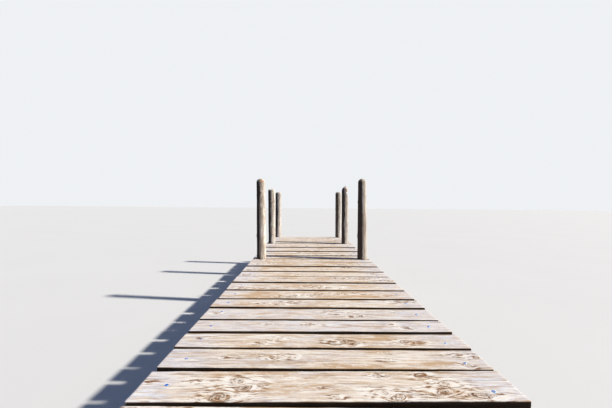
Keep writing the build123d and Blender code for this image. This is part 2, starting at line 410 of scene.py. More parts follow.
def weather_block(bm, size, style, knots, checks, heart, tone, seed, shade_and_grime_rims=(0.0, 0.0), grey_ends=0.0):
    """Wears a block along its grain and writes what the wood material reads.

    checks holds, for each drying check, the axis and side of its face, its place across the face, where
    it starts and ends along the grain, and its depth. heart is where the middle of the tree lies.
    shade_and_grime_rims is how far the dark of the gaps, soiling mixed with painted shade, reaches in from
    the two long edges, and grey_ends is how much greyer the wood is at its ends."""
    # Wear of the ends: how much they shrink, go out of square and roughen
    end_shrink, end_skew, end_roughness = 0.0011, 0.004, 0.0012
    # How far the whole block bends sideways and up
    sweep, unevenness = 0.0035, 0.0006
    # How much darker the undersides of the deck boards and the ends of every block are made
    underside_darkening, end_grime = 0.8, 0.12
    face_tolerance, row_tolerance = 1e-4, 1e-5
    # How fine each noise is, along the grain and across it
    wear_along, wear_across = 7, 42
    drift_along, drift_across = 1.7, 0.35
    ridge_along, ridge_across = 3, 95
    nick_along, nick_across = 13, 20
    half = [length / 2 for length in size]
    layers = WoodLayers(bm)
    shift = Vector((seed * 3.71, 0.0, 0.0))
    for vert in bm.verts:
        u, v, w = vert.co
        on_top = w > half[2] - 0.8 * style.ease
        on_end = abs(u) > half[0] - TINY
        from_edge = half[1] - abs(v)
        underneath = w < -half[2] + face_tolerance
        grime_and_shade = underside_darkening if underneath and any(shade_and_grime_rims) else 0.0
        bent, nearest, stain = knot_field(knots, u, v)
        opening = 0.0
        for axis, side, row, start, end, depth in checks:
            if abs(vert.co[axis] - side * half[axis]) > TINY:
                continue
            if abs(vert.co[3 - axis] - row) > row_tolerance:
                continue
            opening = max(opening, check_opening(u, start, end))
            if axis == 2:
                w -= side * depth * opening
            else:
                v -= side * depth * opening
        grain = Vector((u, bent - heart[0], w - heart[1])) + shift
        wear = Vector((u * wear_along + seed * 5.3, v * wear_across, w * wear_across))
        wear = noise.noise_vector(wear)
        drift = Vector((u * drift_along + seed * 2.9, drift_across * v / half[1], seed * 1.3))
        drift = noise.noise_vector(drift)
        ridge = noise.noise(Vector((u * ridge_along + seed, bent * ridge_across, w * ridge_across)))
        edge = abs(v) / half[1]
        nick = Vector((u * nick_along + seed * 4.1, math.copysign(3.0, v), w * nick_across))
        nick = noise.noise(nick)
        strayed = style.wander * (drift.y + 0.8 * nick * edge**6) * edge
        v += style.relief * wear.y + strayed + sweep * drift.x * (1 - edge * edge)
        if on_top:
            worn_knot = 1.2 * math.exp(-nearest * nearest) - 0.5 * math.exp(-((nearest - 1.35) ** 2) * 6)
            w += style.relief * (wear.z + 0.8 * ridge + worn_knot)
        w += unevenness * drift.z
        if on_end:
            v *= 1 - end_shrink / half[1]
            w *= 1 - end_shrink / half[2]
        near_end = eased(abs(u), half[0] - 0.1, half[0])
        u += end_roughness * wear.x + end_skew * drift.z * (v / half[1]) * near_end
        vert.co = (u, v, w)
        # Painted shade mixed with soiling along the gaps between boards
        rim = shade_and_grime_rims[v > 0]
        if rim:
            grime_and_shade = max(grime_and_shade, 1 - eased(from_edge, min(0.5 * style.ease, 0.4 * rim), rim))
        if abs(u) > half[0] - TINY:
            grime_and_shade = end_grime
        greyer = grey_ends * eased(abs(u) + 0.06 * drift.y, half[0] - 0.3, half[0] - 0.05)
        # The gap rims and undersides go into the brownness as painted shade mixed with soiling
        browned_and_shaded = tone[2] - 0.4 * greyer * (1 - grime_and_shade) + 2.2 * grime_and_shade
        layers.write(vert, grain, (nearest, stain, opening), (tone[0], tone[1] + greyer, browned_and_shaded))


def mesh_of(bm, name):
    """A mesh made from a bmesh, which is freed."""
    mesh = bpy.data.meshes.new(name)
    bm.to_mesh(mesh)
    bm.free()
    return mesh


def carved(bm, cutters):
    """The block with the cutters' volume taken out of it."""
    scene = bpy.context.scene
    block = bpy.data.objects.new("block", mesh_of(bm, "block"))
    scene.collection.objects.link(block)
    helpers = [block]
    for cutter in cutters:
        tool = bpy.data.objects.new("cutter", mesh_of(cutter, "cutter"))
        scene.collection.objects.link(tool)
        helpers.append(tool)
        cut = block.modifiers.new("cut", "BOOLEAN")
        cut.operation = "DIFFERENCE"
        cut.solver = "EXACT"
        cut.object = tool
    bpy.context.view_layer.update()
    mesh = bpy.data.meshes.new_from_object(block.evaluated_get(bpy.context.evaluated_depsgraph_get()))
    for helper in helpers:
        data = helper.data
        bpy.data.objects.remove(helper)
        bpy.data.meshes.remove(data)
    result = bmesh.new()
    result.from_mesh(mesh)
    bpy.data.meshes.remove(mesh)
    return result


def join_piece(name, meshes, material, smooth_angle=38.0):
    """Joins meshes into one object that rides on the jetty."""
    parts = [bpy.data.objects.new(name, mesh) for mesh in meshes]
    for part in parts:
        bpy.context.scene.collection.objects.link(part)
    piece = parts[0]
    if len(parts) > 1:
        with bpy.context.temp_override(
            active_object=piece, object=piece, selected_objects=parts, selected_editable_objects=parts
        ):
            bpy.ops.object.join()
    piece.data.materials.clear()
    piece.data.materials.append(material)
    piece.data.polygons.foreach_set("use_smooth", [True] * len(piece.data.polygons))
    piece.data.set_sharp_from_angle(angle=math.radians(smooth_angle))
    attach(piece, "root")
    return piece


def wooden_piece(name, meshes, material, nodes):
    """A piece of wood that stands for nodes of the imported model."""
    piece = join_piece(name, meshes, material)
    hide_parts(*nodes)
    return piece


class Finish:
    """A material, with short calls that add its nodes."""

    def __init__(self, name):
        self.material = bpy.data.materials.new(name)
        self.material.use_nodes = True
        self.tree = self.material.node_tree
        self.tree.nodes.clear()

    def node(self, kind, inputs, **settings):
        made = self.tree.nodes.new("ShaderNode" + kind)
        for key, value in settings.items():
            setattr(made, key, value)
        for socket, value in inputs.items():
            if isinstance(value, bpy.types.NodeSocket):
                self.tree.links.new(value, made.inputs[socket])
            else:
                made.inputs[socket].default_value = value
        return made

    def attribute(self, name):
        return self.node("Attribute", {}, attribute_name=name).outputs["Vector"]

    def parts(self, vector):
        return self.node("SeparateXYZ", {0: vector}).outputs

    def math(self, operation, *values):
        return self.node("Math", dict(enumerate(values)), operation=operation).outputs[0]

    def plus(self, first, second):
        return self.math("ADD", first, second)

    def minus(self, first, second):
        return self.math("SUBTRACT", first, second)

    def times(self, first, second):
        return self.math("MULTIPLY", first, second)

    def vector(self, operation, *values):
        made = self.node("VectorMath", dict(enumerate(values)), operation=operation)
        return made.outputs["Value" if operation == "LENGTH" else "Vector"]

    def ease(self, value, low, high, start=0.0, end=1.0):
        inputs = {"Value": value, "From Min": low, "From Max": high, "To Min": start, "To Max": end}
        return self.node("MapRange", inputs, interpolation_type="SMOOTHSTEP").outputs[0]

    def noise(self, place, along, across, detail=3.0, roughness=0.55):
        """Noise, given how fine it is along the grain and across it. Its outputs are a value and a colour."""
        scaled = self.vector("MULTIPLY", place, (along, across, across))
        inputs = {"Vector": scaled, "Scale": 1.0, "Detail": detail, "Roughness": roughness}
        return self.node("TexNoise", inputs).outputs

    def grain(self, *settings):
        return self.noise(*settings)[0]

    def mix(self, factor, first, second, blend="MIX"):
        inputs = {0: factor, 6: first, 7: second}
        return self.node("Mix", inputs, data_type="RGBA", blend_type=blend).outputs[2]

    def coat(self, colour, over, value, low, high, strength=1.0):
        """A colour with another laid over it as a value goes from low to high."""
        return self.mix(self.ease(value, low, high, 0.0, strength), colour, over)

    def surface(self, height, bump_distance, **inputs):
        bump = self.node("Bump", {"Height": height, "Distance": bump_distance, "Strength": 1.0})
        inputs = {key.replace("_", " "): value for key, value in inputs.items()}
        shader = self.node("BsdfPrincipled", {**inputs, "Normal": bump.outputs[0]})
        output = self.node("OutputMaterial", {"Surface": shader.outputs[0]})
        output.is_active_output = True
        return self.material


def weathered_wood(name, colours, ring_gap=0.0044, waterline=0.0, streak=1.0, bleached=True):
    """Bleached wood with growth rings, streaks, greyed patches, knots, checks, soiling, and painted light and
    shade from its tone attribute.

    It reads where each point lies in the tree, so that end grain shows rings and long faces show grain."""
    finish = Finish(name)
    plus, minus, times = finish.plus, finish.minus, finish.times
    ease, grain, mix, coat = finish.ease, finish.grain, finish.mix, finish.coat
    names = ("pale", "tan", "silver", "brown", "grime_and_shade")
    pale, tan, silver, brown, grime_and_shade = ((*getattr(colours, shade), 1.0) for shade in names)
    white = (1.0, 0.945, 0.865, 1.0) if bleached else pale
    cool_white = (0.8, 0.835, 0.94, 1.0)
    place = finish.attribute("grain_place")
    knot, stain, check = finish.parts(finish.attribute("wood_marks"))[:]
    bright, greyed, browned_and_shaded = finish.parts(finish.attribute("wood_tone"))[:]

    drift = finish.vector("SUBTRACT", finish.noise(place, 2.1, 9.0, 2.0)[1], (0.5, 0.5, 0.5))
    bent = finish.vector("ADD", place, finish.vector("MULTIPLY", drift, (0.0, 0.022, 0.022)))
    radius = finish.vector("LENGTH", finish.vector("MULTIPLY", bent, (0.0, 1.0, 1.0)))
    ring = ease(finish.math("SINE", times(radius, FULL_TURN / ring_gap)), -0.2, 1.0)

    fine = grain(bent, 11.0, 260.0, 2.0, 0.6)
    streaks = grain(bent, 5.5, 100.0, 4.0, 0.65)
    bands = grain(bent, 1.6, 34.0, 4.0, 0.6)
    patches = grain(place, 3.2, 12.0, 4.0, 0.65)
    blotches = grain(place, 11.0, 40.0, 4.0, 0.7)
    specks = grain(place, 70.0, 120.0, 3.0, 0.7)
    flecks = grain(bent, 42.0, 150.0, 4.0, 0.75)
    cracks = grain(bent, 4.5, 300.0, 1.0, 0.4)
    strokes = grain(bent, 24.0, 125.0, 3.0, 0.6)
    broad = grain(bent, 3.0, 13.0, 4.0, 0.6)
    lines = grain(bent, 1.8, 190.0, 3.0, 0.6)

    # Bleached ground with warm and greyed patches
    colour = coat(pale, white, bands, 0.46, 0.34, 0.85)
    colour = coat(colour, tan, plus(bands, times(browned_and_shaded, 0.08)), 0.52, 0.66, 0.9)
    colour = coat(colour, white, broad, 0.46, 0.36, 0.85)
    warm = plus(broad, times(browned_and_shaded, 0.13))
    colour = coat(colour, tan, warm, 0.55, 0.65, 0.65)
    colour = coat(colour, silver, plus(patches, times(greyed, 0.16)), 0.52, 0.72, 0.75)
    if bleached:
        colour = coat(colour, cool_white, greyed, 0.6, 1.4, 0.75)
    colour = coat(colour, white, blotches, 0.48, 0.37, 0.9)
    colour = coat(colour, white, flecks, 0.48, 0.36, 0.95)
    if "heart" in colours.__annotations__:
        torn = plus(times(flecks, 1.6), times(blotches, 0.8))
        bare = times(ease(plus(greyed, torn), 1.15, 0.2, 0.0, 0.95), ease(greyed, -0.1, -0.5))
        colour = mix(bare, colour, (*colours.heart, 1.0))

    # Grain, finer and paler away from the knots
    near_knot = ease(stain, 0.08, 0.5)
    short_flecks = ease(flecks, 0.52, 0.66, 0.0, 0.65 * streak)
    colour = mix(times(short_flecks, plus(0.35, times(near_knot, 0.65))), colour, tan)
    colour = coat(colour, tan, lines, 0.53, 0.66, 0.6 * streak)
    colour = coat(colour, tan, streaks, 0.51, 0.64, 0.65 * streak)
    colour = coat(colour, white, streaks, 0.45, 0.36, 0.8)
    colour = coat(colour, tan, plus(warm, times(blotches, 0.35)), 0.8, 0.92, 0.75)
    colour = mix(times(ring, 0.35), colour, tan)
    colour = coat(colour, brown, streaks, 0.6, 0.78, 0.6 * streak)
    colour = coat(colour, brown, fine, 0.56, 0.76, 0.5 * streak)
    blotch = times(ease(blotches, 0.56, 0.66), plus(0.1, times(near_knot, 0.45)))
    colour = mix(blotch, colour, brown)

    # Feathered grain beside a knot, the knot's rings, its dark rim and its open middle
    feather = plus(strokes, times(minus(streaks, 0.5), 0.5))
    colour = mix(times(ease(feather, 0.52, 0.44, 0.0, 0.85), near_knot), colour, white)
    colour = mix(times(ease(feather, 0.535, 0.63, 0.0, 0.92), near_knot), colour, brown)
    wobble = plus(knot, times(minus(plus(specks, blotches), 1.0), 1.1))
    broken = ease(plus(specks, times(streaks, 0.9)), 0.86, 1.06, 0.05, 1.0)
    inside = ease(wobble, 1.1, 0.7)
    colour = mix(times(inside, 0.15), colour, tan)
    knot_rings = times(ease(finish.math("SINE", times(wobble, 15.0)), 0.1, 1.0, 0.05, 0.9), broken)
    colour = mix(times(inside, knot_rings), colour, brown)
    rim = times(ease(wobble, 0.82, 1.0), ease(wobble, 1.28, 1.02))
    colour = mix(times(rim, broken), colour, brown)
    colour = coat(colour, grime_and_shade, wobble, 0.3, 0.08, 0.75)

    # Hairline cracks, open checks, and soiling mixed with painted shade
    hairline = ease(cracks, 0.68, 0.73, 0.0, 0.65)
    colour = mix(hairline, colour, grime_and_shade)
    # Brightness from the tone attribute: on the logs it holds the painted light of the sun side
    shade = finish.node("CombineXYZ", {0: bright, 1: bright, 2: bright}).outputs[0]
    colour = mix(1.0, colour, shade, "MULTIPLY")
    colour = coat(colour, grime_and_shade, check, 0.1, 0.7, 0.95)
    # Painted shade mixed with soiling, from the gap rims, the board undersides and the logs' shaded side
    dirt_and_shade = plus(ease(browned_and_shaded, 1.2, 2.6), times(minus(patches, 0.5), 0.4))
    colour = coat(colour, grime_and_shade, dirt_and_shade, 0.1, 0.95, 0.99)
    height = minus(plus(times(streaks, 0.8), times(fine, 0.5)), times(hairline, 0.7))
    height = plus(height, times(ring, 0.1))
    roughness = ease(streaks, 0.3, 0.7, 0.74, 0.92)
    if waterline:
        above = finish.parts(finish.node("TexCoord", {}).outputs["Object"])[2]
        ragged = plus(above, times(minus(blotches, 0.5), 0.09))
        wet = ease(ragged, waterline, 0.25 * waterline)
        colour = mix(times(wet, 0.86), colour, (0.028, 0.03, 0.014, 1.0))
        colour = coat(colour, (0.09, 0.07, 0.045, 1.0), ragged, 2.4 * waterline, 0.9 * waterline, 0.45)
        roughness = minus(roughness, times(wet, 0.42))
    return finish.surface(height, 0.0012, Base_Color=colour, Roughness=roughness, Specular_IOR_Level=0.1)


def metal(name, colour, rust, rustiness, roughness):
    """Zinc-coated steel with a mottled coat, fine scratches and some rust."""
    finish = Finish(name)
    place = finish.node("TexCoord", {}).outputs["Object"]
    spangle = finish.parts(finish.node("TexVoronoi", {"Vector": place, "Scale": 260.0}).outputs["Color"])[0]
    mottle = finish.grain(place, 190.0, 190.0, 4.0, 0.6)
    stain = finish.grain(place, 60.0, 60.0, 4.0, 0.65)
    dark, dim, light = (
        (*(min(1.0, share * part) for part in colour), 1.0) for share in (0.45, 0.8, 1.25)
    )
    shine = finish.coat(finish.mix(spangle, dim, light), dark, mottle, 0.4, 0.7, 0.35)
    rusted = finish.ease(stain, 0.66 - 0.3 * rustiness, 0.82 - 0.3 * rustiness)
    shine = finish.mix(rusted, shine, (*rust, 1.0))
    dull = finish.ease(mottle, 0.3, 0.7, roughness, roughness + 0.2)
    dull = finish.plus(dull, finish.times(rusted, 0.35))
    metallic = finish.ease(rusted, 0.2, 0.8, 1.0, 0.1)
    return finish.surface(mottle, 0.0004, Base_Color=shine, Roughness=dull, Metallic=metallic)


def loose_solids(bm):
    """The separate solids of a mesh, each as a list of its corners."""
    left = set(bm.verts)
    solids = []
    while left:
        solid = []
        reached = [left.pop()]
        while reached:
            vert = reached.pop()
            solid.append(vert)
            for edge in vert.link_edges:
                other = edge.other_vert(vert)
                if other in left:
                    left.discard(other)
                    reached.append(other)
        solids.append(solid)
    return solids


def board_places():
    """For each board, from the near end: its node, its place as a matrix, and its size."""
    places = []
    for node in DECKS:
        copy = bmesh.new()
        copy.from_mesh(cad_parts[node].data)
        bmesh.ops.remove_doubles(copy, verts=copy.verts, dist=1e-5)
        bmesh.ops.dissolve_limit(copy, angle_limit=math.radians(1), verts=copy.verts, edges=copy.edges)
        copy.edges.index_update()
        for solid in loose_solids(copy):
            edges = {edge for vert in solid for edge in vert.link_edges}
            longest = max(edges, key=lambda edge: (round(edge.calc_length(), 5), edge.index))
            run = longest.verts[1].co - longest.verts[0].co
            run = Vector((run.x, run.y, 0)).normalized() * (1 if run.x > 0 else -1)
            turn = Matrix.Rotation(math.atan2(run.y, run.x), 4, "Z")
            laid = [turn.inverted() @ vert.co for vert in solid]
            low = Vector([min(point[axis] for point in laid) for axis in range(3)])
            high = Vector([max(point[axis] for point in laid) for axis in range(3)])
            place = turn @ Matrix.Translation((low + high) / 2)
            places.append((node, place, high - low))
        copy.free()
    return sorted(places, key=lambda found: found[1].translation.y)


def notch_cutters(place, size, settings):
    """Cutters for the notches that one board needs round the tall posts, in the board's own place."""
    cutters = []
    for post in TALL_POSTS:
        low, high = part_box(post)
        centre = (low + high) / 2
        radius = (high.x - low.x) / 2 + settings.notch_clearance
        away = abs(centre.y - place.translation.y) - size.y / 2
        if away > radius:
            continue
        depth = 4 * size.z
        round_cut = bmesh.new()
        bmesh.ops.create_cone(
            round_cut, cap_ends=True, segments=40, radius1=radius, radius2=radius, depth=depth,
            matrix=Matrix.Translation((centre.x, centre.y, place.translation.z)),
        )
        round_cut.transform(place.inverted())
        cutters.append(round_cut)
    return cutters


def board_checks(rng, half_length, half_width):
    """Drying checks in the upper face of a board, as weather_block takes them."""
    apart = 0.012
    end_share = 0.55
    checks = []
    for _ in range(rng.randint(2, 4)):
        row = rng.uniform(-0.72, 0.72) * half_width
        if any(abs(row - other[2]) < apart for other in checks):
            continue
        depth = rng.uniform(0.003, 0.007)
        span = rng.uniform(0.12, 0.5)
        if rng.random() < end_share:
            side = rng.choice((-1, 1))
            start, end = -half_length - 0.3 * span, -half_length + span
            if side > 0:
                start, end = -end, -start
        else:
            start = rng.uniform(-half_length, half_length - span)
            end = start + span
        checks.append((2, 1, row, start, end, depth))
    return checks


def random_knots(rng, half_length, half_width):
    """Knots for a board or timber whose own ones aren't known, as knot_field takes them."""
    twin_share = 0.35
    knots = []
    for _ in range(rng.randint(5, 8)):
        radius = rng.choice((0.006, 0.008, 0.011, 0.014, 0.019, 0.024))
        along = rng.uniform(-0.95, 0.95) * half_length
        across = rng.uniform(-0.85, 0.85) * half_width
        knots.append((along, across, radius, rng.uniform(3.0, 8.0) * radius + 0.02))
        if rng.random() < twin_share:
            beside = (along + rng.uniform(0.03, 0.07), across + rng.uniform(-0.03, 0.03))
            knots.append((*beside, 0.7 * radius, 0.05))
    return knots


def shade_and_grime_rims(settings, places, number):
    """How far the dark of the gaps, soiling mixed with painted shade, reaches in from a board's near and far
    edge. Tight joints get narrower rims.
    """
    widest_rim = 0.022
    near_share, far_share, tight_share = 0.3, 1.2, 0.25
    grown = settings.rim_growth * max(0, number - min(BOARD_KNOTS))
    widest = min(widest_rim, settings.rim + grown)
    _, place, size = places[number]
    rims = []
    for step, share in ((-1, near_share), (1, far_share)):
        rim = 0.0
        if 0 <= number + step < len(places):
            _, other_place, other_size = places[number + step]
            apart = abs(other_place.translation.y - place.translation.y)
            gap = apart - (size.y + other_size.y) / 2
            rim = share * widest * (1.0 if gap > settings.tight_joint else tight_share)
        rims.append(rim)
    return rims


def screw_places(number, settings, rng):
    """Where the two screws of a board go, in the board's own place."""
    shifts = SCREW_SHIFTS.get(number) or (rng.uniform(-0.03, 0.03), rng.uniform(-0.03, 0.03))
    return [(side * settings.screw_inset, shift) for side, shift in zip((-1, 1), shifts)]


def worn_board(number, places, settings):
    """One board along X, notched round the posts, worn, toned and cupped."""
    _, place, size = places[number]
    rng = draws("boards", number)
    half_length, half_width = size.x / 2, size.y / 2
    knots = BOARD_KNOTS.get(number) or random_knots(rng, half_length, half_width)
    checks = board_checks(rng, half_length, half_width)
    check_half_width = 0.0011
    underside_step, edge_step = 0.05, 0.012
    reach = half_width - settings.ease
    side_reach = size.z / 2 - settings.ease
    check_rows = [check[2] for check in checks]
    faces = {
        (2, 1): rows_with_checks(-reach, reach, settings.row_step, check_rows, check_half_width),
        (2, -1): even_steps(-reach, reach, underside_step),
        (1, -1): even_steps(-side_reach, side_reach, edge_step),
        (1, 1): even_steps(-side_reach, side_reach, edge_step),
    }
    board = sawn_block(size, settings.ease, settings.ring_step, faces)
    cutters = notch_cutters(place, size, settings)
    if cutters:
        board = carved(board, cutters)
    tone = BOARD_TONES.get(number) or (
        rng.uniform(0.97, 1.05), rng.uniform(0.3, 0.9), rng.uniform(0.2, 0.8)
    )
    heart = (rng.uniform(-0.7, 0.7) * half_width, rng.choice((-1, 1)) * rng.uniform(0.05, 0.14))
    rims = shade_and_grime_rims(settings, places, number)
    seed = WEAR_SEEDS["boards"] + number
    weather_block(board, size, settings, knots, checks, heart, tone, seed, rims, settings.grey_ends)
    cup = settings.cup if heart[1] < 0 else -settings.cup
    for vert in board.verts:
        lift = cup * ((vert.co.y / half_width) ** 2 - 0.4)
        vert.co.z += lift * eased(vert.co.z, -size.z / 2, size.z / 2)
    return board


class JETTY_OT_boards(bpy.types.Operator):
    """Build the weathered deck boards, notched round the posts"""

    bl_idname = "jetty.boards"
    bl_label = "Deck boards"

    def execute(self, context):
        settings = context.scene.jetty_boards
        material = weathered_wood("bleached deck boards", settings)
        meshes = {node: [] for node in DECKS}
        places = board_places()
        for number, (node, place, _) in enumerate(places):
            board = worn_board(number, places, settings)
            board.transform(place)
            meshes[node].append(mesh_of(board, "board"))
        for number, node in enumerate(DECKS, 1):
            wooden_piece(f"deck_planks_{number}", meshes[node], material, [node])
        return {"FINISHED"}


def angle_between(angle, other):
    """The turn from one angle to another, between minus and plus half a turn."""
    return (angle - other + math.pi) % FULL_TURN - math.pi


def log_body(profile, columns):
    """A round log turned from the outline of one side, from the middle of its foot to that of its top."""
    bm = bmesh.new()
    corners = [bm.verts.new((radius, 0.0, height)) for radius, height in profile]
    edges = [bm.edges.new(pair) for pair in zip(corners, corners[1:])]
    bmesh.ops.spin(
        bm, geom=corners + edges, cent=(0, 0, 0), axis=(0, 0, 1), dvec=(0, 0, 0), angle=FULL_TURN,
        steps=columns, use_merge=True, use_normal_flip=False, use_duplicate=False,
    )
    bmesh.ops.remove_doubles(bm, verts=bm.verts, dist=TINY)
    bmesh.ops.recalc_face_normals(bm, faces=bm.faces)
    return bm


def log_outline(foot, shoulder, top, rise, seat_low, seat_high, step):
    """Outline of a log's side: foot, the seat for the headers, a slight taper, and a rounded top."""
    foot_bevel = 0.002
    seat_step = 0.0008
    clearance = 0.003
    rounds = 9
    outline = [(0.0, 0.0), (0.5 * foot, 0.0), (foot - foot_bevel, 0.0), (foot, foot_bevel)]
    edges = [edge + side * seat_step for edge in (seat_low, seat_high) for side in (-1, 1)]
    shoulder_height = top - rise
    heights = [
        height for height in even_steps(foot_bevel, shoulder_height, step)
        if all(abs(height - edge) > clearance for edge in edges)
    ]
    for height in sorted(heights + [edge for edge in edges if edge < shoulder_height - 0.002]):
        taper = 0.0
        if shoulder < foot:
            taper = max(0.0, (height - seat_high) / (shoulder_height - seat_high))
        outline.append((foot + (shoulder - foot) * taper, height))
    for number in range(rounds):
        turn = math.pi / 2 * number / rounds
        width = shoulder * math.cos(turn) ** 0.95
        outline.append((width, shoulder_height + rise * math.sin(turn) ** 1.02))
    outline.append((0.0, top))
    return outline


def weather_log(bm, style, seed, tone, knots, checks, top, bow_from, lean=0.0, bare=()):
    """Gives a log its lumps, bow, knots and checks, and writes what the wood material reads.

    knots holds height, angle, radius and reach. checks holds angle, lowest and highest place, and depth.
    The side away from the sun is painted dark as shade, and the side facing it is painted paler as light.
    bare holds the height, angle and radius of the places where heartwood shows."""
    # Radius inside which the wear fades out towards the middle of the log
    core = 0.03
    check_half_turn = 0.022
    top_roughness = 0.0022
    # How fine each noise is, round the log and up it
    lump_round, lump_up = 2.2, 5
    ridge_round, ridge_up = 9, 2.2
    top_round, top_up = 45, 20
    columns = style.columns
    layers = WoodLayers(bm)
    spin = random.Random(seed).uniform(0, FULL_TURN)
    ring_turn = FULL_TURN / columns
    turns = {}
    for angle, *_ in checks:
        middle = round(angle / ring_turn) % columns
        for offset in (-1, 0, 1):
            turns[(middle + offset) % columns] = middle * ring_turn + offset * check_half_turn
    for vert in bm.verts:
        x, y, z = vert.co
        radius = math.hypot(x, y)
        angle = math.atan2(y, x) % FULL_TURN
        column = round(angle / ring_turn) % columns
        off_axis = radius > TINY
        if off_axis:
            angle = turns.get(column, column * ring_turn)
        opening = 0.0
        push = 0.0
        for check_angle, low, high, depth in checks:
            if off_axis and column == round(check_angle / ring_turn) % columns:
                opening = max(opening, check_opening(z, low, high))
                push = max(push, depth * opening)
        nearest, stain = NO_KNOT, 0.0
        turned = angle
        for height, knot_angle, knot_radius, reach in knots:
            across = angle_between(angle, knot_angle) * max(radius, core)
            bent, near, brown = knot_field([(height, 0.0, knot_radius, reach)], z, across)
            turned += (bent - across) / max(radius, core)
            nearest, stain = min(nearest, near), max(stain, brown)
        cos, sin = math.cos(angle), math.sin(angle)
        lump = noise.noise(Vector((lump_round * cos + seed, lump_round * sin, lump_up * z)))
        ridge = noise.noise(Vector((ridge_round * cos + seed, ridge_round * sin, ridge_up * z)))
        bulge = 2.5 * math.exp(-(nearest**2) * 0.7)
        steady = eased(radius, 0.0, core)
        wide = radius + steady * (style.relief * (lump + 0.6 * ridge + bulge - 0.6) - push)
        grain = (z + seed * 3.71, radius * math.cos(turned + spin), radius * math.sin(turned + spin))
        sway = noise.noise_vector(Vector((seed * 1.7, 0.0, 0.9 * z)))
        sway *= style.bow * eased(z, bow_from, bow_from + 0.5)
        sway.x += lean * max(0.0, z - bow_from) / max(0.01, top - bow_from)
        dome = eased(z, top - 0.06, top - 0.01)
        rough = noise.noise(Vector((x * top_round + seed, y * top_round, z * top_up)))
        drop = top_roughness * rough * dome - push * dome * 0.6
        vert.co = (wide * cos + sway.x, wide * sin + sway.y, z + drop)
        bright, grey, browned_and_shaded = tone
        # Painted light: the side facing the key light is made paler and the rest a little darker
        sunlit = math.cos(angle - SUN_TURN)
        bright += style.painted_sunlight * (eased(sunlit, 0.6, 0.95) - 0.5) * steady
        for height, bare_angle, bare_radius in bare:
            distance = math.hypot(z - height, angle_between(angle, bare_angle) * radius)
            grey -= (1 - eased(distance, 0.6 * bare_radius, 1.2 * bare_radius)) * (1 + grey)
        # Painted shade: darkens the side away from the key light, less towards +Y and near the top
        away = eased(-sunlit + 0.3 * lump, -0.05, 0.13) * steady * (1 - 0.6 * dome)
        away *= 1 - 0.6 * eased(sin, -0.2, 0.5)
        browned_and_shaded += style.painted_shade_side * away
        layers.write(vert, grain, (nearest, stain, opening), (bright, grey, browned_and_shaded))


def seat_log(bm, centre, seat_low, seat_high):
    """Cuts the flat seats for the two headers, then stands the log in its place."""
    for vert in bm.verts:
        if seat_low < vert.co.z < seat_high:
            vert.co.y = min(HEADER_HALF_SPACE, max(-HEADER_HALF_SPACE, vert.co.y))
    bm.transform(Matrix.Translation((centre.x, centre.y, 0.0)))


def log_knots(rng, low, high, count):
    """Knots between two heights of a log, as weather_log takes them."""
    return [
        (rng.uniform(low, high), rng.uniform(0, FULL_TURN), rng.choice((0.008, 0.011, 0.014)), 0.05)
        for _ in range(count)
    ]


def log_checks(rng, top, count):
    """Drying checks of a log: by turns one runs down from the top and one lies between the ends."""
    checks = []
    for number in range(count):
        angle = FULL_TURN * (number + rng.uniform(0.15, 0.85)) / count
        if number % 2:
            span = rng.uniform(0.25, 0.5) * top
            low = rng.uniform(0.1, top - span - 0.05)
            checks.append((angle, low, low + span, rng.uniform(0.004, 0.009)))
        else:
            span = rng.uniform(0.25, 0.75) * top
            checks.append((angle, top - span, top + 0.4 * span, rng.uniform(0.006, 0.012)))
    return checks


class JETTY_OT_piles(bpy.types.Operator):
    """Build the low round piles that stop under the stringers"""

    bl_idname = "jetty.piles"
    bl_label = "Low piles"

    def execute(self, context):
        settings = context.scene.jetty_logs
        material = log_material(settings)
        for number, node in enumerate(LOW_PILES):
            rng = draws("piles", number)
            low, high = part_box(node)
            foot = (high.x - low.x) / 2
            top = high.z
            seat_high = top + 0.1
            outline = log_outline(
                foot, foot, top, settings.pile_bevel, HEADER_UNDERSIDE, seat_high, settings.ring_step
            )
            log = log_body(outline, settings.columns)
            tone = (rng.uniform(0.8, 0.95), rng.uniform(0.4, 0.9), rng.uniform(0.3, 0.6))
            knots = log_knots(rng, 0.05, top, 2)
            checks = log_checks(rng, top, 4)
            weather_log(log, settings, WEAR_SEEDS["piles"] + number, tone, knots, checks, top, top)
            seat_log(log, (low + high) / 2, HEADER_UNDERSIDE, seat_high)
            name = node.replace("low_pile", "log_pile")
            wooden_piece(name, [mesh_of(log, name)], material, [node])
        return {"FINISHED"}


def log_material(settings):
    name = "weathered logs"
    made = bpy.data.materials.get(name)
    return made or weathered_wood(name, settings, ring_gap=0.0036, waterline=0.075, streak=0.9)


def cylinder(bm, segments, bottom, top, start, end):
    """A round or many-sided bar on Z, with its radius at the bottom and top, from a start to an end."""
    bmesh.ops.create_cone(
        bm, cap_ends=True, segments=segments, radius1=bottom, radius2=top, depth=end - start,
        matrix=Matrix.Translation((0, 0, (start + end) / 2)),
    )


def wedge_cutter(corners, seed, drop):
    """A cutter that runs from front to back, with the given corners across the jetty. It leaves torn wood.

    Its front end is lower than its middle by drop, and its back end higher by as much."""
    reach = 0.09
    cuts = 14
    rough_depth, torn_depth = 0.003, 0.0015
    rough_scale, torn_across, torn_up = 38, 160, 45
    bm = bmesh.new()
    face = bm.faces.new([bm.verts.new((x, -reach, z - drop)) for x, z in corners])
    swept = bmesh.ops.extrude_face_region(bm, geom=[face])
    far = [item for item in swept["geom"] if isinstance(item, bmesh.types.BMVert)]
    bmesh.ops.translate(bm, vec=(0, 2 * reach, 2 * drop), verts=far)
    bmesh.ops.recalc_face_normals(bm, faces=bm.faces)
    bmesh.ops.subdivide_edges(bm, edges=bm.edges[:], cuts=cuts, use_grid_fill=True)
    for vert in bm.verts:
        x, y, z = vert.co
        rough = noise.noise_vector(vert.co * rough_scale + Vector((seed, 0, 0)))
        torn = noise.noise_vector(Vector((x * torn_across, y * torn_across, z * torn_up + seed)))
        vert.co += rough_depth * rough + torn_depth * torn
    return bm


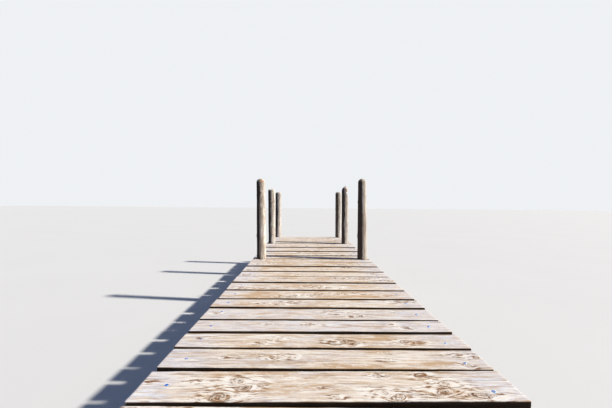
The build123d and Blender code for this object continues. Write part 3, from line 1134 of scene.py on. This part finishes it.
def splinter(place, height, bend, tone):
    """A thin splinter that stands up from torn wood."""
    foot_radius, tip_radius, raggedness = 0.0065, 0.0008, 0.0022
    bm = bmesh.new()
    cylinder(bm, 7, foot_radius, tip_radius, -height / 2, height / 2)
    sides = [edge for edge in bm.edges if edge.calc_length() > 0.8 * height]
    bmesh.ops.subdivide_edges(bm, edges=sides, cuts=4)
    for vert in bm.verts:
        rise = vert.co.z / height + 0.5
        torn = noise.noise_vector(vert.co * 260 + Vector((bend * 900, 0, 0)))
        vert.co += raggedness * (1 - rise) * torn
        vert.co.x += bend * rise * rise
        vert.co.y *= 0.5
    bm.transform(Matrix.Translation((place[0], place[1], place[2] + 0.4 * height)))
    layers = WoodLayers(bm)
    for vert in bm.verts:
        layers.write(vert, (vert.co.z, 0.02, 0.03), (NO_KNOT, 0.0, 0.0), tone)
    return bm


def placed_from_top(marks, top):
    """Marks given by their distance below the crown and their direction in degrees, as heights and angles."""
    return [(top - below, math.radians(degrees), *rest) for below, degrees, *rest in marks]


class JETTY_OT_posts(bpy.types.Operator):
    """Build the tall posts with their rounded, split and broken tops"""

    bl_idname = "jetty.posts"
    bl_label = "Tall posts"

    def execute(self, context):
        settings = context.scene.jetty_logs
        material = log_material(settings)
        seat_high = HEADER_TOP + SEAT_CLEARANCE
        for number, node in enumerate(TALL_POSTS):
            rng = draws("posts", number)
            low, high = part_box(node)
            centre = (low + high) / 2
            foot = (high.x - low.x) / 2
            rise_above, lean, shoulder, rise, tone = POSTS[node]
            top = DECK_TOP + rise_above
            outline = log_outline(
                foot, shoulder, top, rise, HEADER_UNDERSIDE, seat_high, settings.ring_step
            )
            log = log_body(outline, settings.columns)
            if node in TOP_CUTS:
                corners, torn_seed, drop = TOP_CUTS[node]
                corners = [(x, top + above) for x, above in corners]
                log = carved(log, [wedge_cutter(corners, torn_seed, drop)])
            knots = log_knots(rng, 0.7, top - 0.1, 4) + placed_from_top(TOP_KNOTS.get(node, ()), top)
            checks = log_checks(rng, top, 5)
            bare = placed_from_top(BARE_HEART.get(node, ()), top)
            seed = WEAR_SEEDS["posts"] + number
            weather_log(log, settings, seed, tone, knots, checks, top, DECK_TOP, lean, bare)
            seat_log(log, centre, HEADER_UNDERSIDE, seat_high)
            name = node.replace("post_", "log_post_")
            meshes = [mesh_of(log, name)]
            for across, height, bend in SPLINTERS.get(node, ()):
                spike = splinter((centre.x + lean + across, centre.y, top - 0.004), height, bend, tone)
                meshes.append(mesh_of(spike, name))
            wooden_piece(name, meshes, material, [node])
        return {"FINISHED"}


def timber_material(settings):
    name = "damp sawn timbers"
    made = bpy.data.materials.get(name)
    return made or weathered_wood(name, settings, ring_gap=0.005, bleached=False)


def worn_timber(kind, number, size, settings, greyness, heart_reach):
    """A header or stringer along X, with its drying checks and knots, worn and toned."""
    apart = 0.01
    rng = draws(kind, number)
    half = [length / 2 for length in size]
    checks = []
    for side in (-1, 1):
        for _ in range(2):
            span = rng.uniform(0.2, 0.7) * size[0]
            start = rng.uniform(-half[0], half[0] - span)
            row = rng.uniform(-0.6, 0.6) * (half[2] - settings.ease)
            if all(check[1] != side or abs(check[2] - row) > apart for check in checks):
                checks.append((1, side, row, start, start + span, rng.uniform(0.003, 0.006)))
    check_half_width = 0.0014
    top_step = 0.02
    _, side_reach, top_reach = (length - settings.ease for length in half)
    faces = {}
    for side in (-1, 1):
        check_rows = [check[2] for check in checks if check[1] == side]
        faces[(1, side)] = rows_with_checks(
            -top_reach, top_reach, settings.row_step, check_rows, check_half_width
        )
    faces[(2, 1)] = faces[(2, -1)] = even_steps(-side_reach, side_reach, top_step)
    block = sawn_block(size, settings.ease, settings.ring_step, faces)
    knots = random_knots(rng, half[0], half[1])
    tone = (rng.uniform(0.85, 1.05), rng.uniform(*greyness), rng.uniform(0.2, 0.6))
    heart = (rng.uniform(-heart_reach, heart_reach), rng.uniform(-2 * heart_reach, 2 * heart_reach))
    weather_block(block, size, settings, knots, checks, heart, tone, WEAR_SEEDS[kind] + number)
    return block


class JETTY_OT_headers(bpy.types.Operator):
    """Build the pairs of headers that clasp the piles"""

    bl_idname = "jetty.headers"
    bl_label = "Headers"

    def execute(self, context):
        settings = context.scene.jetty_timbers
        material = timber_material(settings)
        for number, node in enumerate(HEADERS):
            low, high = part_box(node)
            size = high - low
            block = worn_timber("headers", number, size, settings, (0.4, 0.9), 0.06)
            for side in (-1, 1):
                corner = Vector((side * size.x / 2, 0.0, -size.z / 2 + settings.header_bevel))
                cut = bmesh.ops.bisect_plane(
                    block, geom=block.verts[:] + block.edges[:] + block.faces[:], dist=TINY,
                    plane_co=corner, plane_no=Vector((side, 0.0, -1.0)).normalized(), clear_outer=True,
                )
                rim = [edge for edge in cut["geom_cut"] if isinstance(edge, bmesh.types.BMEdge)]
                bmesh.ops.contextual_create(block, geom=rim)
            block.transform(Matrix.Translation((low + high) / 2))
            name = node.replace("header_", "header_timber_")
            wooden_piece(name, [mesh_of(block, name)], material, [node])
        return {"FINISHED"}


class JETTY_OT_stringers(bpy.types.Operator):
    """Build the stringers that carry the boards"""

    bl_idname = "jetty.stringers"
    bl_label = "Stringers"

    def execute(self, context):
        settings = context.scene.jetty_timbers
        material = timber_material(settings)
        quarter = Matrix.Rotation(math.pi / 2, 4, "Z")
        for number, node in enumerate(STRINGERS):
            low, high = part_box(node)
            size = Vector((high.y - low.y, high.x - low.x, high.z - low.z))
            block = worn_timber("stringers", number, size, settings, (0.3, 0.8), 0.05)
            block.transform(Matrix.Translation((low + high) / 2) @ quarter)
            name = node.replace("stringer_", "stringer_timber_")
            wooden_piece(name, [mesh_of(block, name)], material, [node])
        return {"FINISHED"}


def crown_of(bm):
    return max(bm.faces, key=lambda face: face.calc_center_median().z)


def screw_head(diameter):
    """A low domed screw head with a star recess."""
    half_height = 0.0008
    dome = 0.0003
    recess = 0.0018
    bm = bmesh.new()
    radius = diameter / 2
    cylinder(bm, 16, radius, 0.82 * radius, -half_height, half_height)
    crown = crown_of(bm)
    bmesh.ops.inset_region(bm, faces=[crown], thickness=0.16 * radius, depth=dome)
    bmesh.ops.inset_region(bm, faces=[crown], thickness=0.2 * radius, depth=0.0)
    for number, vert in enumerate(crown.verts):
        if number % 3 == 0:
            vert.co.x *= 0.7
            vert.co.y *= 0.7
    bmesh.ops.inset_region(bm, faces=[crown], thickness=0.02 * radius, depth=-recess)
    return bm


class JETTY_OT_screws(bpy.types.Operator):
    """Build the screws that hold the ends of the boards"""

    bl_idname = "jetty.screws"
    bl_label = "Screws"

    def execute(self, context):
        settings = context.scene.jetty_fixings
        meshes = []
        for number, (_, place, size) in enumerate(board_places()):
            rng = draws("screws", number)
            for along, across in screw_places(number, settings, rng):
                head = screw_head(settings.screw_head)
                tilt = Matrix.Rotation(rng.uniform(-0.06, 0.06), 4, "X")
                tilt = tilt @ Matrix.Rotation(rng.uniform(-0.06, 0.06), 4, "Y")
                spot = Matrix.Translation((along, across, size.z / 2 + 0.0003))
                head.transform(place @ spot @ tilt @ Matrix.Rotation(rng.uniform(0, 6.28), 4, "Z"))
                meshes.append(mesh_of(head, "screw"))
        # The screws' blue is a painted sky reflection on the zinc
        material = metal("bright zinc", settings.zinc_and_sky_blue, settings.rust, rustiness=0.15, roughness=0.22)
        join_piece("deck_screws", meshes, material, 30.0)
        return {"FINISHED"}


def bolt_end(settings, threaded):
    """A washer and a hexagon head, or a nut with the bolt's end through it, pointing up from Z = 0."""
    bm = bmesh.new()
    washer_top = settings.washer_rise
    head_top = washer_top + settings.bolt_rise
    thread_radius, thread_tip, thread_past_nut = 0.0098, 0.0092, 0.006
    cylinder(bm, 32, settings.washer / 2, settings.washer / 2, 0, washer_top)
    bevel(bm, list(crown_of(bm).edges), 0.0008)
    cylinder(bm, 6, settings.bolt_head / 2, settings.bolt_head / 2, washer_top, head_top)
    bevel(bm, list(crown_of(bm).edges), 0.0014)
    if threaded:
        cylinder(bm, 20, thread_radius, thread_tip, 0, head_top + thread_past_nut)
    return bm


class JETTY_OT_bolts(bpy.types.Operator):
    """Build the bolts that clasp the headers to the piles"""

    bl_idname = "jetty.bolts"
    bl_label = "Bolts"

    def execute(self, context):
        settings = context.scene.jetty_fixings
        material = metal("galvanised steel", settings.steel, settings.rust, rustiness=0.5, roughness=0.42)
        header_height = HEADER_TOP - HEADER_UNDERSIDE
        piles = LOW_PILES + TALL_POSTS
        for number in range(1, 7):
            meshes = []
            rng = draws("bolts", number)
            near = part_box(f"header_{number}_near_side")[0].y
            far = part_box(f"header_{number}_far_side")[1].y
            for pile in piles[2 * number - 2:2 * number]:
                low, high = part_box(pile)
                for level in (0.3, 0.72):
                    across = (low.x + high.x) / 2 + rng.uniform(-0.006, 0.006) + (0.5 - level) * 0.04
                    height = HEADER_UNDERSIDE + level * header_height + rng.uniform(-0.004, 0.004)
                    for face, facing, threaded in ((near, 1, False), (far, -1, True)):
                        end = bolt_end(settings, threaded)
                        stand = Matrix.Rotation(facing * math.pi / 2, 4, "X")
                        spin = Matrix.Rotation(rng.uniform(0, 6.28), 4, "Z")
                        end.transform(Matrix.Translation((across, face, height)) @ stand @ spin)
                        meshes.append(mesh_of(end, "bolt"))
            join_piece(f"header_bolts_{number}", meshes, material, 30.0)
        return {"FINISHED"}


def camera_turn(stage):
    """The camera's turn: level and looking along the jetty, then turned right, tipped down and rolled."""
    yaw = Matrix.Rotation(stage.yaw, 3, "Z")
    pitch = Matrix.Rotation(stage.pitch, 3, "X")
    roll = Matrix.Rotation(stage.roll, 3, "Y")
    right, forward, up = roll @ pitch @ yaw
    return Matrix((right, up, -forward)).transposed().to_4x4()


class JETTY_OT_stage(bpy.types.Operator):
    """Set the floor, the light and the camera"""

    bl_idname = "jetty.stage"
    bl_label = "Stage"

    def execute(self, context):
        stage = context.scene.jetty_stage
        scene = context.scene
        scene.view_settings.view_transform = "Standard"
        sheet = bmesh.new()
        bmesh.ops.create_grid(sheet, x_segments=1, y_segments=1, size=60.0)
        floor = bpy.data.objects.new("floor", mesh_of(sheet, "floor"))
        scene.collection.objects.link(floor)
        finish = Finish("pale floor")
        shaded = tuple(0.2 * part for part in stage.floor)
        shade = finish.mix(self.seen(finish), (*shaded, 1.0), (*stage.floor, 1.0))
        cloud = finish.grain(finish.node("TexCoord", {}).outputs["Object"], 0.6, 0.6, 3.0)
        grey = finish.node("CombineXYZ", {0: cloud, 1: cloud, 2: cloud}).outputs[0]
        shade = finish.mix(0.04, shade, grey)
        floor.data.materials.append(finish.surface(cloud, 0.001, Base_Color=shade, Roughness=0.9))

        world = bpy.data.worlds.new("studio")
        scene.world = world
        world.use_nodes = True
        finish.tree = world.node_tree
        finish.tree.nodes.clear()
        seen = self.seen(finish)
        colour = finish.mix(seen, (0.8, 1.15, 2.1, 1.0), (0.86, 0.88, 0.9, 1.0))
        strength = finish.plus(finish.times(seen, 1 - stage.fill), stage.fill)
        background = finish.node("Background", {"Color": colour, "Strength": strength})
        finish.node("OutputWorld", {"Surface": background.outputs[0]})

        key = bpy.data.lights.new("key light", "SUN")
        key.energy = stage.sun
        key.angle = math.radians(2.5)
        key.color = (1.0, 0.95, 0.86)
        lamp = bpy.data.objects.new("key light", key)
        towards = Vector((math.cos(SUN_TURN), math.sin(SUN_TURN), math.tan(SUN_RISE)))
        lamp.rotation_euler = towards.to_track_quat("Z", "Y").to_euler()
        scene.collection.objects.link(lamp)

        lens = bpy.data.cameras.new("camera")
        lens.lens = stage.lens
        lens.sensor_width = 36.0
        lens.clip_start, lens.clip_end = 0.01, 300.0
        camera = bpy.data.objects.new("camera", lens)
        camera.matrix_world = Matrix.Translation(stage.camera_place) @ camera_turn(stage)
        scene.collection.objects.link(camera)
        scene.camera = camera
        return {"FINISHED"}

    @staticmethod
    def seen(finish):
        """1 where the camera or a reflection sees the surface, 0 where it lights the object."""
        path = finish.node("LightPath", {}).outputs
        either = finish.math("MAXIMUM", path["Is Camera Ray"], path["Is Glossy Ray"])
        return finish.math("MAXIMUM", either, path["Is Transmission Ray"])


STEPS = (
    JETTY_OT_boards, JETTY_OT_piles, JETTY_OT_posts, JETTY_OT_headers, JETTY_OT_stringers, JETTY_OT_screws,
    JETTY_OT_bolts, JETTY_OT_stage,
)
GROUPS = {
    "jetty_boards": JettyBoards, "jetty_logs": JettyLogs, "jetty_timbers": JettyTimbers,
    "jetty_fixings": JettyFixings, "jetty_stage": JettyStage,
}


class JETTY_PT_panel(bpy.types.Panel):
    """Sizes, colours and build steps of the jetty"""

    bl_idname = "JETTY_PT_panel"
    bl_label = "Wooden jetty"
    bl_space_type = "VIEW_3D"
    bl_region_type = "UI"
    bl_category = "Jetty"

    def draw(self, context):
        for step in STEPS:
            self.layout.operator(step.bl_idname)
        for name, group in GROUPS.items():
            box = self.layout.box()
            box.label(text=name.replace("jetty_", "").capitalize())
            for setting in group.__annotations__:
                box.prop(getattr(context.scene, name), setting)


def register():
    for cls in (*GROUPS.values(), *STEPS, JETTY_PT_panel):
        bpy.utils.register_class(cls)
    for name, group in GROUPS.items():
        setattr(bpy.types.Scene, name, PointerProperty(type=group))


def unregister():
    for name in GROUPS:
        delattr(bpy.types.Scene, name)
    for cls in reversed((*GROUPS.values(), *STEPS, JETTY_PT_panel)):
        bpy.utils.unregister_class(cls)


def main():
    register()
    bpy.ops.jetty.stage()
    bpy.ops.jetty.boards()
    bpy.ops.jetty.piles()
    bpy.ops.jetty.posts()
    bpy.ops.jetty.headers()
    bpy.ops.jetty.stringers()
    bpy.ops.jetty.screws()
    bpy.ops.jetty.bolts()


if __name__ == "__main__":
    main()
